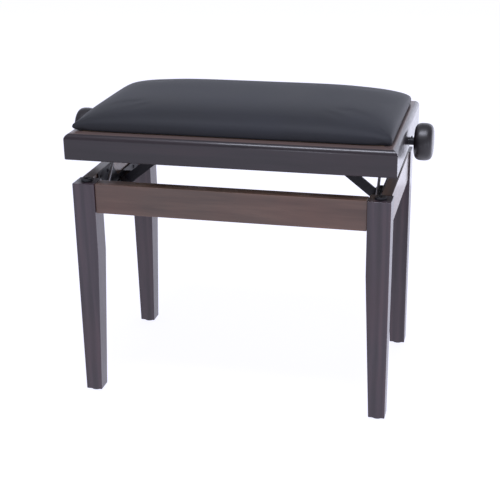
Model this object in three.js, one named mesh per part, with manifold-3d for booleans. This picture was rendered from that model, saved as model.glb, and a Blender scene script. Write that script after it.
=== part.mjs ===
// Adjustable piano bench: a wooden base on four tapered legs, and a padded seat that a threaded
// spindle with a knob at each end raises and lowers on two steel struts.
// Millimetres. X runs along the bench, Y from front to rear, Z up, origin on the floor.
import * as THREE from 'three';
import { mergeVertices } from 'three/addons/utils/BufferGeometryUtils.js';
import Module from 'manifold-3d';

const wasm = await Module();
wasm.setup();

// Overall sizes
const SEAT_LENGTH = 550;
const SEAT_DEPTH = 340;
const LEG_HEIGHT = 388;
const SEAT_GAP = 42;              // seat frame above the base at rest
const SEAT_OVERHANG_X = 8;
const SEAT_OVERHANG_Y = 5;
const TOUCH_GAP = 0.3;            // between pieces that touch

// Legs and feet
const LEG_TOP = 38;
const LEG_FOOT = 28;
const LEG_TAPER_HEIGHT = 260;     // below this the two inner faces taper
const GLIDE_RADIUS = 11;
const GLIDE_THICKNESS = 3;
const BUMPER_RADIUS = 9.5;
const BUMPER_HEIGHT = 4;

// Aprons and their corner joints
const APRON_HEIGHT = 51;
const APRON_INSET = 3;            // behind the leg's outer face
const LONG_APRON_THICKNESS = 24;
const END_APRON_THICKNESS = 18;
const BLOCK_HEIGHT = 34;
const BLOCK_DROP = 8;             // block top below the apron's top
const BLOCK_REACH = 22;           // along each apron from the leg
const BOLT_RADIUS = 4;
const BOLT_HEAD_RADIUS = 7.5;
const BOLT_HEAD_HEIGHT = 5;
const BOLT_DEPTH = 22;            // in the leg
const BOLT_CLEARANCE = 0.4;

// Seat frame, panel and cushion
const RAIL_HEIGHT = 44;
const RAIL_WIDTH = 24;
const RAIL_ROUND = 10;
const RAIL_EASE = 1.5;
const PANEL_THICKNESS = 12;
const CUSHION_HEIGHT = 43;
const CUSHION_MARGIN_X = 12;
const CUSHION_MARGIN_Y = 23;
const CUSHION_CORNER = 26;
const CUSHION_ROUND = 15;

// Spindle, knobs and bushes
const SPINDLE_RADIUS = 5;
const KNOB_RADIUS = 31;
const KNOB_THICKNESS = 32;
const KNOB_ROUND = 9;
const KNOB_STANDOFF = 9;          // seat frame to knob
const KNOB_BORE_DEPTH = 20;
const COLLAR_WALL = 1.2;
const COLLAR_SCREW_RADIUS = 1.5;
const COLLAR_SCREW_PROUD = 2;
const BUSH_WALL = 2.6;
const BUSH_FLANGE_STEP = 3;
const BUSH_FLANGE_THICKNESS = 2;
const RUNNING_CLEARANCE = 0.4;

// Struts, nuts and their pins
const STRUT_LENGTH = 158.6;       // pin to pin
const STRUT_WIDTH = 17;
const STRUT_THICKNESS = 4.8;
const STRUT_SIDE_GAP = 0.6;       // to the guide channel
const PIN_RADIUS = 4;
const PIN_CLEARANCE = 0.4;
const PIN_HEAD_RADIUS = 6.5;
const PIN_HEAD_HEIGHT = 2.2;
const PIN_GRIP = 2.2;             // in the nut's side
const NUT_LENGTH = 34;
const NUT_SIDE_WALL = 3.1;
const NUT_TOP_WALL = 5.6;
const NUT_TRAVEL_IN = 23.5;       // from rest to the lowest seat
const NUT_TRAVEL_OUT = 28.95;     // from rest to the highest seat
const NUT_OFFSET = 1.8;           // above the spindle's axis at rest
const NUT_BORE_CLEARANCE = 2.4;   // the open pivot's play round the spindle
const CHANNEL_WALL = 2;
const CHANNEL_PLAY = 0.5;         // beside the nut
const CHANNEL_LIP = 3.9;          // below the slots
const NUT_HEAD_PLAY = 0.9;        // between nut and channel at rest
const CHANNEL_END_GAP = 58.4;     // to each seat plate
const SLOT_END_PLAY = 0.85;
const SLOT_PLAY = 3.4;            // above and below a nut pin

// Steel plates at the two ends
const PLATE_WALL = 2.3;
const END_PLATE_MARGIN = 1;       // beside the corner blocks
const END_PLATE_DEPTH = 48;
const END_STRIP_HEIGHT = 18;      // low part of the plate, behind the struts
const END_STEP_GAP = 11;          // strut to the tall part of the plate
const LUG_THICKNESS = 3;
const LUG_REACH = 27;             // from the apron
const LOWER_PIN_INSET = 18;       // from the apron
const LOWER_PIN_DROP = 40.5;      // below the apron's top
const LUG_FRONT_REACH = 26;       // in front of the strut
const LUG_REAR_REACH = 35;        // behind the strut
const LUG_ROUND = 9;
const SPRING_OUTER = 11;
const SPRING_INNER = 7;
const SPRING_GAP = 1.2;           // between the lift spring and its neighbours
const SEAT_PLATE_WIDTH = 84;
const SEAT_PLATE_BOTTOM = -2;     // from the seat frame's bottom
const SEAT_PLATE_TOP = 29;

// Hold-down springs between the hooks of the end plates
const HOOK_TAB_REACH = 23;
const HOOK_TAB_WIDTH = 10;
const HOOK_HOLE_RADIUS = 2;
const HOOK_X_INSET = 12;          // from the apron
const BASE_HOOK_MARGIN = 1;       // from the end plate's edge
const BASE_HOOK_DROP = 33;
const SEAT_HOOK_Y = 22;
const HOLD_SPRING_RADIUS = 4;
const HOLD_SPRING_END_GAP = 5;

// Derived places
const BASE_X = SEAT_LENGTH / 2 - SEAT_OVERHANG_X;
const BASE_Y = SEAT_DEPTH / 2 - SEAT_OVERHANG_Y;
const LEG_INNER_X = BASE_X - LEG_TOP;
const LEG_INNER_Y = BASE_Y - LEG_TOP;
const END_APRON_X = BASE_X - APRON_INSET - END_APRON_THICKNESS;
const LONG_APRON_Y = BASE_Y - APRON_INSET - LONG_APRON_THICKNESS;
const SEAT_X = SEAT_LENGTH / 2;
const SEAT_Y = SEAT_DEPTH / 2;
const SEAT_BOTTOM = LEG_HEIGHT + SEAT_GAP;
const SEAT_TOP = SEAT_BOTTOM + RAIL_HEIGHT;
const PANEL_BOTTOM = SEAT_TOP - PANEL_THICKNESS;
const BUSH_RADIUS = SPINDLE_RADIUS + RUNNING_CLEARANCE + BUSH_WALL;
const COLLAR_RADIUS = SPINDLE_RADIUS + TOUCH_GAP + COLLAR_WALL;
const NUT_BORE_RADIUS = SPINDLE_RADIUS + NUT_BORE_CLEARANCE;
const NUT_WIDTH = 2 * (NUT_BORE_RADIUS + NUT_SIDE_WALL);
const NUT_HEIGHT = 2 * (NUT_BORE_RADIUS + NUT_TOP_WALL);
const KNOB_X = SEAT_X + KNOB_STANDOFF;
const LOWER_PIN_X = END_APRON_X - LOWER_PIN_INSET;
const LOWER_PIN_Z = LEG_HEIGHT - LOWER_PIN_DROP;
const CHANNEL_TOP = PANEL_BOTTOM - TOUCH_GAP;
const NUT_Z = CHANNEL_TOP - CHANNEL_WALL - NUT_HEAD_PLAY - NUT_HEIGHT / 2;
const SPINDLE_Z = NUT_Z - NUT_OFFSET;
const STRUT_ANGLE = Math.asin((NUT_Z - LOWER_PIN_Z) / STRUT_LENGTH);
const NUT_X = LOWER_PIN_X - STRUT_LENGTH * Math.cos(STRUT_ANGLE);
const SLOT_HALF_HEIGHT = PIN_RADIUS + SLOT_PLAY;
const CHANNEL_INNER_Y = NUT_WIDTH / 2 + CHANNEL_PLAY;
const CHANNEL_OUTER_Y = CHANNEL_INNER_Y + CHANNEL_WALL;
const CHANNEL_HALF = SEAT_X - RAIL_WIDTH - TOUCH_GAP - PLATE_WALL - CHANNEL_END_GAP;
const SLOT_FROM = NUT_X - NUT_TRAVEL_IN - PIN_RADIUS - SLOT_END_PLAY;
const SLOT_TO = NUT_X + NUT_TRAVEL_OUT + PIN_RADIUS + SLOT_END_PLAY;
const STRUT_PLANE_Y = -(CHANNEL_OUTER_Y + STRUT_SIDE_GAP + STRUT_THICKNESS / 2);
const LUG_FRONT_Y = STRUT_PLANE_Y - LUG_FRONT_REACH;
const LUG_REAR_Y = STRUT_PLANE_Y + LUG_REAR_REACH;
const HOOK_X = END_APRON_X - HOOK_X_INSET;
const END_PLATE_HALF = LEG_INNER_Y - BLOCK_REACH - END_PLATE_MARGIN;
const BASE_HOOK_Y = END_PLATE_HALF - BASE_HOOK_MARGIN - HOOK_TAB_WIDTH / 2;
const BASE_HOOK_Z = LEG_HEIGHT - BASE_HOOK_DROP;
const SEAT_HOOK_Z = SEAT_BOTTOM + SEAT_PLATE_BOTTOM;

const SIDES = [['left', -1], ['right', 1]];
const CORNERS = [
  ['front_left', -1, -1], ['front_right', 1, -1], ['rear_left', -1, 1], ['rear_right', 1, 1],
];

// Materials
const wood = new THREE.MeshStandardMaterial({ color: 0x2a1d1a, roughness: 0.38, metalness: 0 });
const rawWood = new THREE.MeshStandardMaterial({ color: 0x6f5238, roughness: 0.8, metalness: 0 });
const plywood = new THREE.MeshStandardMaterial({ color: 0xa88a5e, roughness: 0.8, metalness: 0 });
const vinyl = new THREE.MeshStandardMaterial({ color: 0x1f2126, roughness: 0.5, metalness: 0 });
const blackSteel = new THREE.MeshStandardMaterial({ color: 0x17181a, roughness: 0.42, metalness: 0.6 });
const zincSteel = new THREE.MeshStandardMaterial({ color: 0x9a9c9e, roughness: 0.3, metalness: 1 });
const springSteel = new THREE.MeshStandardMaterial({ color: 0x6e7074, roughness: 0.32, metalness: 1 });
const rubber = new THREE.MeshStandardMaterial({ color: 0x0d0d0e, roughness: 0.75, metalness: 0 });
const nylon = new THREE.MeshStandardMaterial({ color: 0x121214, roughness: 0.5, metalness: 0 });
const gloss = new THREE.MeshStandardMaterial({ color: 0x120c0b, roughness: 0.2, metalness: 0 });

// Solids: geometry in, geometry out

function toSolid(geometry) {
  const bare = geometry.clone();
  bare.deleteAttribute('normal');
  bare.deleteAttribute('uv');
  const merged = mergeVertices(bare, 1e-4);
  const corners = merged.index.array;
  const triangles = [];
  for (let i = 0; i < corners.length; i += 3) {
    const [a, b, c] = [corners[i], corners[i + 1], corners[i + 2]];
    if (a !== b && b !== c && c !== a) triangles.push(a, b, c);
  }
  const vertProperties = Float32Array.from(merged.attributes.position.array);
  const triVerts = Uint32Array.from(triangles);
  return new wasm.Manifold(new wasm.Mesh({ numProp: 3, vertProperties, triVerts }));
}

function toGeometry(solid) {
  const mesh = solid.getMesh();
  const geometry = new THREE.BufferGeometry();
  geometry.setAttribute('position', new THREE.BufferAttribute(mesh.vertProperties, 3));
  geometry.setIndex(new THREE.BufferAttribute(mesh.triVerts, 1));
  return geometry;
}

function cut(body, ...tools) {
  return toGeometry(tools.reduce((solid, tool) => solid.subtract(toSolid(tool)), toSolid(body)));
}

function join(body, ...others) {
  return toGeometry(others.reduce((solid, other) => solid.add(toSolid(other)), toSolid(body)));
}

function common(a, b) {
  return toGeometry(toSolid(a).intersect(toSolid(b)));
}

function box(x0, x1, y0, y1, z0, z1) {
  const geometry = new THREE.BoxGeometry(Math.abs(x1 - x0), Math.abs(y1 - y0), Math.abs(z1 - z0));
  return geometry.translate((x0 + x1) / 2, (y0 + y1) / 2, (z0 + z1) / 2);
}

// Turns a geometry built along +Z from the origin so that it runs from one point towards another.
function aim(geometry, from, to) {
  const direction = new THREE.Vector3().subVectors(to, from).normalize();
  const turn = new THREE.Quaternion().setFromUnitVectors(new THREE.Vector3(0, 0, 1), direction);
  return geometry.applyQuaternion(turn).translate(from.x, from.y, from.z);
}

function point(x, y, z) {
  return new THREE.Vector3(x, y, z);
}

function rod(radius, from, to, segments = 20) {
  const length = from.distanceTo(to);
  const geometry = new THREE.CylinderGeometry(radius, radius, length, segments);
  return aim(geometry.rotateX(Math.PI / 2).translate(0, 0, length / 2), from, to);
}

function tube(outer, inner, from, to, segments = 20) {
  const length = from.distanceTo(to);
  const profile = [[inner, 0], [outer, 0], [outer, length], [inner, length], [inner, 0]];
  return aim(turned(profile, segments), from, to);
}

// A profile of [radius, height] points turned round the Z axis.
function turned(profile, segments = 24) {
  const points = profile.map(([radius, height]) => new THREE.Vector2(radius, height));
  return new THREE.LatheGeometry(points, segments).rotateX(Math.PI / 2);
}

function outline(points) {
  return new THREE.Shape(points.map(([x, y]) => new THREE.Vector2(x, y)));
}

function plate(shape, z0, z1, segments = 8) {
  const settings = { depth: z1 - z0, bevelEnabled: false, curveSegments: segments };
  return new THREE.ExtrudeGeometry(shape, settings).translate(0, 0, z0);
}

// A shape drawn in X and Z, extruded along Y.
function plateXZ(shape, y0, y1, segments = 8) {
  return plate(shape, -y1, -y0, segments).rotateX(Math.PI / 2);
}

// A shape drawn in Y and Z, extruded along X.
function plateYZ(shape, x0, x1, segments = 8) {
  const turn = new THREE.Matrix4().makeBasis(point(0, 1, 0), point(0, 0, 1), point(1, 0, 0));
  return plate(shape, x0, x1, segments).applyMatrix4(turn);
}

const bench = new THREE.Group();

function add(name, geometry, material) {
  const mesh = new THREE.Mesh(geometry, material);
  mesh.name = name;
  bench.add(mesh);
}

// Base

// One side of a leg: its outer face is straight, its inner face tapers to the foot.
function legProfile(outer, sign) {
  const foot = GLIDE_THICKNESS + TOUCH_GAP;
  return outline([
    [sign * outer, foot], [sign * outer, LEG_HEIGHT], [sign * (outer - LEG_TOP), LEG_HEIGHT],
    [sign * (outer - LEG_TOP), LEG_TAPER_HEIGHT], [sign * (outer - LEG_FOOT), foot],
  ]);
}

function boltLine(sx, sy) {
  const height = LEG_HEIGHT - BLOCK_DROP - BLOCK_HEIGHT / 2;
  const corner = point(sx * LEG_INNER_X, sy * LEG_INNER_Y, height);
  const inward = point(-sx, -sy, 0).normalize();
  return { corner, inward };
}

// How far the block's slanted face lies from the leg's inner corner, along the bolt.
function blockFaceDistance(sx, sy) {
  const faceX = point(sx * END_APRON_X, sy * (LEG_INNER_Y - BLOCK_REACH), 0);
  const faceY = point(sx * (LEG_INNER_X - BLOCK_REACH), sy * LONG_APRON_Y, 0);
  const { corner, inward } = boltLine(sx, sy);
  const along = new THREE.Vector3().subVectors(faceY, faceX).normalize();
  const normal = point(-along.y, along.x, 0);
  const gap = new THREE.Vector3().subVectors(faceX, corner.clone().setZ(0));
  return gap.dot(normal) / inward.dot(normal);
}

function addLeg(name, sx, sy) {
  const { corner, inward } = boltLine(sx, sy);
  const legX = plateXZ(legProfile(BASE_X, sx), Math.min(0, sy * BASE_Y), Math.max(0, sy * BASE_Y));
  const legY = plateYZ(legProfile(BASE_Y, sy), Math.min(0, sx * BASE_X), Math.max(0, sx * BASE_X));
  const hole = rod(
    BOLT_RADIUS + BOLT_CLEARANCE,
    corner.clone().addScaledVector(inward, LEG_TOP / 2),
    corner.clone().addScaledVector(inward, -BOLT_DEPTH - BOLT_CLEARANCE),
  );
  add(`leg_${name}`, cut(common(legX, legY), hole), wood);
}

function addCornerBlock(name, sx, sy) {
  const outerX = END_APRON_X - TOUCH_GAP;
  const outerY = LONG_APRON_Y - TOUCH_GAP;
  const legX = LEG_INNER_X - TOUCH_GAP;
  const legY = LEG_INNER_Y - TOUCH_GAP;
  const corners = [
    [outerX, legY], [legX, legY], [legX, outerY],
    [LEG_INNER_X - BLOCK_REACH, outerY], [outerX, LEG_INNER_Y - BLOCK_REACH],
  ];
  const top = LEG_HEIGHT - BLOCK_DROP;
  const shape = outline(corners.map(([x, y]) => [sx * x, sy * y]));
  const { corner, inward } = boltLine(sx, sy);
  const hole = rod(
    BOLT_RADIUS + BOLT_CLEARANCE,
    corner.clone().addScaledVector(inward, -LEG_TOP / 2),
    corner.clone().addScaledVector(inward, 2 * BLOCK_REACH),
  );
  add(`corner_block_${name}`, cut(plate(shape, top - BLOCK_HEIGHT, top), hole), rawWood);
}

function addLegBolt(name, sx, sy) {
  const { corner, inward } = boltLine(sx, sy);
  const headStart = BOLT_DEPTH + blockFaceDistance(sx, sy) + BOLT_HEAD_HEIGHT / 2;
  const profile = [
    [0, 0], [BOLT_RADIUS, 0], [BOLT_RADIUS, headStart], [BOLT_HEAD_RADIUS, headStart],
    [BOLT_HEAD_RADIUS, headStart + BOLT_HEAD_HEIGHT], [0, headStart + BOLT_HEAD_HEIGHT],
  ];
  const tip = corner.clone().addScaledVector(inward, -BOLT_DEPTH);
  add(`leg_bolt_${name}`, aim(turned(profile, 12), tip, tip.clone().add(inward)), zincSteel);
}

function addFootAndBumper(name, sx, sy) {
  const footX = sx * (BASE_X - LEG_FOOT / 2);
  const footY = sy * (BASE_Y - LEG_FOOT / 2);
  const glide = rod(GLIDE_RADIUS, point(footX, footY, 0), point(footX, footY, GLIDE_THICKNESS));
  add(`foot_glide_${name}`, glide, nylon);
  const crown = BUMPER_HEIGHT / 3;
  const bumper = turned([
    [0, 0], [BUMPER_RADIUS, 0], [BUMPER_RADIUS, BUMPER_HEIGHT - crown],
    [BUMPER_RADIUS - crown, BUMPER_HEIGHT - TOUCH_GAP], [0, BUMPER_HEIGHT - TOUCH_GAP],
  ]);
  const topX = sx * (BASE_X - LEG_TOP / 2);
  const topY = sy * (BASE_Y - LEG_TOP / 2);
  add(`top_bumper_${name}`, bumper.translate(topX, topY, LEG_HEIGHT + TOUCH_GAP), rubber);
}

function addLongApron(name, sy) {
  const half = LEG_INNER_X - TOUCH_GAP;
  const board = box(
    -half, half, sy * LONG_APRON_Y, sy * (BASE_Y - APRON_INSET), LEG_HEIGHT - APRON_HEIGHT, LEG_HEIGHT,
  );
  add(`apron_${name}`, board, wood);
}

function addEndApron(name, sx) {
  const half = LEG_INNER_Y - TOUCH_GAP;
  const board = box(
    sx * END_APRON_X, sx * (BASE_X - APRON_INSET), -half, half, LEG_HEIGHT - APRON_HEIGHT, LEG_HEIGHT,
  );
  add(`apron_${name}`, board, wood);
}

// A lug in the X-Z plane that carries the strut's lower pin.
function lug(sx, y0) {
  const root = sx * (END_APRON_X - TOUCH_GAP - PLATE_WALL / 2);
  const tip = sx * (END_APRON_X - LUG_REACH + LUG_ROUND);
  const shape = new THREE.Shape();
  shape.moveTo(root, LOWER_PIN_Z - LUG_ROUND);
  shape.lineTo(root, LOWER_PIN_Z + LUG_ROUND);
  shape.lineTo(tip, LOWER_PIN_Z + LUG_ROUND);
  shape.absarc(tip, LOWER_PIN_Z, LUG_ROUND, Math.PI / 2, sx > 0 ? 1.5 * Math.PI : -Math.PI / 2, sx < 0);
  return plateXZ(shape, y0, y0 + LUG_THICKNESS);
}

// A flat tab with a hook hole, bent inwards from an end plate.
function hookTab(sx, root, y, z) {
  const tab = box(sx * root, sx * (root - HOOK_TAB_REACH), y - HOOK_TAB_WIDTH / 2,
    y + HOOK_TAB_WIDTH / 2, z - PLATE_WALL / 2, z + PLATE_WALL / 2);
  const below = point(sx * HOOK_X, y, z - PLATE_WALL);
  const above = point(sx * HOOK_X, y, z + PLATE_WALL);
  const hole = rod(HOOK_HOLE_RADIUS, below, above, 12);
  return cut(tab, hole);
}

function addEndPlate(name, sx) {
  const outer = END_APRON_X - TOUCH_GAP;
  const inner = outer - PLATE_WALL;
  const bottom = LEG_HEIGHT - END_PLATE_DEPTH;
  const step = STRUT_PLANE_Y - END_STEP_GAP;
  const profile = outline([
    [-END_PLATE_HALF, bottom], [END_PLATE_HALF, bottom], [END_PLATE_HALF, bottom + END_STRIP_HEIGHT],
    [step + END_STRIP_HEIGHT, bottom + END_STRIP_HEIGHT], [step, bottom + 2 * END_STRIP_HEIGHT],
    [step, LEG_HEIGHT], [-END_PLATE_HALF, LEG_HEIGHT],
  ]);
  const sheet = plateYZ(profile, Math.min(sx * outer, sx * inner), Math.max(sx * outer, sx * inner));
  const solid = join(sheet, lug(sx, LUG_FRONT_Y - LUG_THICKNESS), lug(sx, LUG_REAR_Y),
    hookTab(sx, outer - PLATE_WALL / 2, -BASE_HOOK_Y, BASE_HOOK_Z),
    hookTab(sx, outer - PLATE_WALL / 2, BASE_HOOK_Y, BASE_HOOK_Z));
  const bore = rod(PIN_RADIUS + PIN_CLEARANCE, point(sx * LOWER_PIN_X, LUG_FRONT_Y * 2, LOWER_PIN_Z),
    point(sx * LOWER_PIN_X, LUG_REAR_Y * 3, LOWER_PIN_Z));
  add(`end_plate_${name}`, cut(solid, bore), blackSteel);
}

function addLowerPin(name, sx) {
  const overhang = LUG_THICKNESS + PIN_HEAD_HEIGHT;
  const from = point(sx * LOWER_PIN_X, LUG_FRONT_Y - overhang, LOWER_PIN_Z);
  const to = point(sx * LOWER_PIN_X, LUG_REAR_Y + overhang, LOWER_PIN_Z);
  add(`strut_pin_${name}`, rod(PIN_RADIUS, from, to), zincSteel);
}

function addLiftSpring(name, sx) {
  const front = STRUT_PLANE_Y + STRUT_THICKNESS / 2 + SPRING_GAP;
  const from = point(sx * LOWER_PIN_X, front, LOWER_PIN_Z);
  const to = point(sx * LOWER_PIN_X, LUG_REAR_Y - SPRING_GAP, LOWER_PIN_Z);
  add(`lift_spring_${name}`, tube(SPRING_OUTER, SPRING_INNER, from, to), springSteel);
}

// Seat

function railSection(outer, sign) {
  const inner = outer - RAIL_WIDTH;
  const shape = new THREE.Shape();
  shape.moveTo(sign * inner, SEAT_BOTTOM);
  shape.lineTo(sign * (outer - RAIL_EASE), SEAT_BOTTOM);
  shape.lineTo(sign * outer, SEAT_BOTTOM + RAIL_EASE);
  shape.lineTo(sign * outer, SEAT_TOP - RAIL_ROUND);
  const start = sign > 0 ? 0 : Math.PI;
  shape.absarc(sign * (outer - RAIL_ROUND), SEAT_TOP - RAIL_ROUND, RAIL_ROUND, start, Math.PI / 2, sign < 0);
  shape.lineTo(sign * inner, SEAT_TOP);
  return shape;
}

// Plan of a mitred rail: long edge at one half length, short edge one rail width less at each end.
function mitrePlan(half, outer, sign, swap) {
  const gap = TOUCH_GAP * Math.SQRT1_2;
  const corners = [
    [-half + gap, sign * outer], [half - gap, sign * outer],
    [half - RAIL_WIDTH - gap, sign * (outer - RAIL_WIDTH)],
    [-half + RAIL_WIDTH + gap, sign * (outer - RAIL_WIDTH)],
  ];
  return outline(swap ? corners.map(([a, b]) => [b, a]) : corners);
}

function addLongRail(name, sy) {
  const bar = plateYZ(railSection(SEAT_Y, sy), -SEAT_X, SEAT_X);
  const plan = plate(mitrePlan(SEAT_X, SEAT_Y, sy, false), SEAT_BOTTOM, SEAT_TOP);
  add(`seat_rail_${name}`, common(bar, plan), wood);
}

function addEndRail(name, sx) {
  const bar = plateXZ(railSection(SEAT_X, sx), -SEAT_Y, SEAT_Y);
  const plan = plate(mitrePlan(SEAT_Y, SEAT_X, sx, true), SEAT_BOTTOM, SEAT_TOP);
  const hole = rod(BUSH_RADIUS + TOUCH_GAP, point(0, 0, SPINDLE_Z), point(sx * 2 * SEAT_X, 0, SPINDLE_Z));
  add(`seat_rail_${name}`, cut(common(bar, plan), hole), wood);
}

function addPanel() {
  const halfX = SEAT_X - RAIL_WIDTH - TOUCH_GAP;
  const halfY = SEAT_Y - RAIL_WIDTH - TOUCH_GAP;
  add('seat_panel', box(-halfX, halfX, -halfY, halfY, PANEL_BOTTOM, SEAT_TOP), plywood);
}

function roundedRectangle(halfX, halfY, radius) {
  const shape = new THREE.Shape();
  shape.moveTo(-halfX + radius, -halfY);
  shape.lineTo(halfX - radius, -halfY);
  shape.absarc(halfX - radius, -halfY + radius, radius, -Math.PI / 2, 0);
  shape.lineTo(halfX, halfY - radius);
  shape.absarc(halfX - radius, halfY - radius, radius, 0, Math.PI / 2);
  shape.lineTo(-halfX + radius, halfY);
  shape.absarc(-halfX + radius, halfY - radius, radius, Math.PI / 2, Math.PI);
  shape.lineTo(-halfX, -halfY + radius);
  shape.absarc(-halfX + radius, -halfY + radius, radius, Math.PI, 1.5 * Math.PI);
  return shape;
}

function addCushion() {
  const bottom = SEAT_TOP + TOUCH_GAP;
  const halfX = SEAT_X - CUSHION_MARGIN_X;
  const halfY = SEAT_Y - CUSHION_MARGIN_Y;
  const core = roundedRectangle(halfX - CUSHION_ROUND, halfY - CUSHION_ROUND, CUSHION_CORNER - CUSHION_ROUND);
  const slab = new THREE.ExtrudeGeometry(core, {
    depth: CUSHION_HEIGHT - CUSHION_ROUND, bevelThickness: CUSHION_ROUND, bevelSize: CUSHION_ROUND,
    bevelSegments: 4, curveSegments: 5,
  }).translate(0, 0, SEAT_TOP);
  const keep = box(-SEAT_X, SEAT_X, -SEAT_Y, SEAT_Y, bottom, SEAT_TOP + 2 * CUSHION_HEIGHT);
  add('seat_cushion', common(slab, keep), vinyl);
}

function addSeatPlate(name, sx) {
  const outer = SEAT_X - RAIL_WIDTH - TOUCH_GAP;
  const half = SEAT_PLATE_WIDTH / 2;
  const bottom = SEAT_HOOK_Z - PLATE_WALL / 2;
  const sheet = box(sx * outer, sx * (outer - PLATE_WALL), -half, half, bottom, SEAT_BOTTOM + SEAT_PLATE_TOP);
  const solid = join(sheet,
    hookTab(sx, outer - PLATE_WALL / 2, -SEAT_HOOK_Y, SEAT_HOOK_Z),
    hookTab(sx, outer - PLATE_WALL / 2, SEAT_HOOK_Y, SEAT_HOOK_Z));
  const hole = rod(BUSH_RADIUS + TOUCH_GAP, point(0, 0, SPINDLE_Z), point(sx * 2 * SEAT_X, 0, SPINDLE_Z));
  add(`seat_plate_${name}`, cut(solid, hole), blackSteel);
}

function addBush(name, sx) {
  const bore = SPINDLE_RADIUS + RUNNING_CLEARANCE;
  const flange = SEAT_X - RAIL_WIDTH - 2 * TOUCH_GAP - PLATE_WALL - BUSH_FLANGE_THICKNESS;
  const length = SEAT_X - flange;
  const flangeRadius = BUSH_RADIUS + BUSH_FLANGE_STEP;
  const profile = [
    [bore, 0], [flangeRadius, 0], [flangeRadius, BUSH_FLANGE_THICKNESS],
    [BUSH_RADIUS, BUSH_FLANGE_THICKNESS], [BUSH_RADIUS, length], [bore, length], [bore, 0],
  ];
  const bush = aim(turned(profile), point(sx * flange, 0, SPINDLE_Z), point(sx * SEAT_X, 0, SPINDLE_Z));
  add(`spindle_bush_${name}`, bush, nylon);
}

function addChannel() {
  const inner = CHANNEL_INNER_Y;
  const outer = CHANNEL_OUTER_Y;
  const bottom = SPINDLE_Z - SLOT_HALF_HEIGHT - CHANNEL_LIP;
  const section = outline([
    [-outer, bottom], [-inner, bottom], [-inner, CHANNEL_TOP - CHANNEL_WALL],
    [inner, CHANNEL_TOP - CHANNEL_WALL], [inner, bottom], [outer, bottom],
    [outer, CHANNEL_TOP], [-outer, CHANNEL_TOP],
  ]);
  const slots = SIDES.map(([, sx]) => box(
    sx * SLOT_FROM, sx * SLOT_TO, -2 * outer, 2 * outer,
    SPINDLE_Z - SLOT_HALF_HEIGHT, SPINDLE_Z + SLOT_HALF_HEIGHT,
  ));
  const channel = plateYZ(section, -CHANNEL_HALF, CHANNEL_HALF);
  add('guide_channel', cut(channel, ...slots), blackSteel);
}

// Spindle and knobs

function addSpindle() {
  const half = KNOB_X + KNOB_BORE_DEPTH - TOUCH_GAP;
  add('spindle', rod(SPINDLE_RADIUS, point(-half, 0, SPINDLE_Z), point(half, 0, SPINDLE_Z)), zincSteel);
}

function addKnob(name, sx) {
  const bore = SPINDLE_RADIUS + TOUCH_GAP;
  const profile = [[0, KNOB_BORE_DEPTH], [bore, KNOB_BORE_DEPTH], [bore, 0]];
  const steps = 4;
  for (let i = 0; i <= steps; i += 1) {
    const angle = (i / steps) * Math.PI / 2;
    profile.push([
      KNOB_RADIUS - KNOB_ROUND + KNOB_ROUND * Math.sin(angle), KNOB_ROUND - KNOB_ROUND * Math.cos(angle),
    ]);
  }
  for (let i = 0; i <= steps; i += 1) {
    const angle = (i / steps) * Math.PI / 2;
    profile.push([
      KNOB_RADIUS - KNOB_ROUND + KNOB_ROUND * Math.cos(angle),
      KNOB_THICKNESS - KNOB_ROUND + KNOB_ROUND * Math.sin(angle),
    ]);
  }
  profile.push([0, KNOB_THICKNESS]);
  const inner = point(sx * KNOB_X, 0, SPINDLE_Z);
  const beyond = point(sx * 2 * KNOB_X, 0, SPINDLE_Z);
  add(`knob_${name}`, aim(turned(profile, 40), inner, beyond), gloss);
}

function addCollar(name, sx) {
  const from = point(sx * (SEAT_X + TOUCH_GAP), 0, SPINDLE_Z);
  const to = point(sx * (KNOB_X - TOUCH_GAP), 0, SPINDLE_Z);
  const middle = sx * (SEAT_X + KNOB_STANDOFF / 2);
  const hole = rod(COLLAR_SCREW_RADIUS + TOUCH_GAP, point(middle, 0, SPINDLE_Z),
    point(middle, 0, SPINDLE_Z + 2 * COLLAR_RADIUS), 12);
  const ring = tube(COLLAR_RADIUS, SPINDLE_RADIUS + TOUCH_GAP, from, to);
  add(`knob_collar_${name}`, cut(ring, hole), blackSteel);
  const screw = rod(COLLAR_SCREW_RADIUS, point(middle, 0, SPINDLE_Z + SPINDLE_RADIUS + TOUCH_GAP),
    point(middle, 0, SPINDLE_Z + COLLAR_RADIUS + COLLAR_SCREW_PROUD), 12);
  add(`collar_screw_${name}`, screw, zincSteel);
}

// Struts and nuts

function addStrut(name, sx) {
  const radius = STRUT_WIDTH / 2;
  const shape = new THREE.Shape();
  shape.moveTo(0, -radius);
  shape.lineTo(STRUT_LENGTH, -radius);
  shape.absarc(STRUT_LENGTH, 0, radius, -Math.PI / 2, Math.PI / 2);
  shape.lineTo(0, radius);
  shape.absarc(0, 0, radius, Math.PI / 2, 1.5 * Math.PI);
  for (const end of [0, STRUT_LENGTH]) {
    const hole = new THREE.Path();
    hole.absarc(end, 0, PIN_RADIUS + PIN_CLEARANCE, 0, 2 * Math.PI, true);
    shape.holes.push(hole);
  }
  const front = STRUT_PLANE_Y - STRUT_THICKNESS / 2;
  const bar = plateXZ(shape, front, front + STRUT_THICKNESS, 12);
  const lean = sx > 0 ? Math.PI - STRUT_ANGLE : STRUT_ANGLE;
  bar.rotateY(-lean).translate(sx * LOWER_PIN_X, 0, LOWER_PIN_Z);
  add(`strut_${name}`, bar, blackSteel);
}

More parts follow.
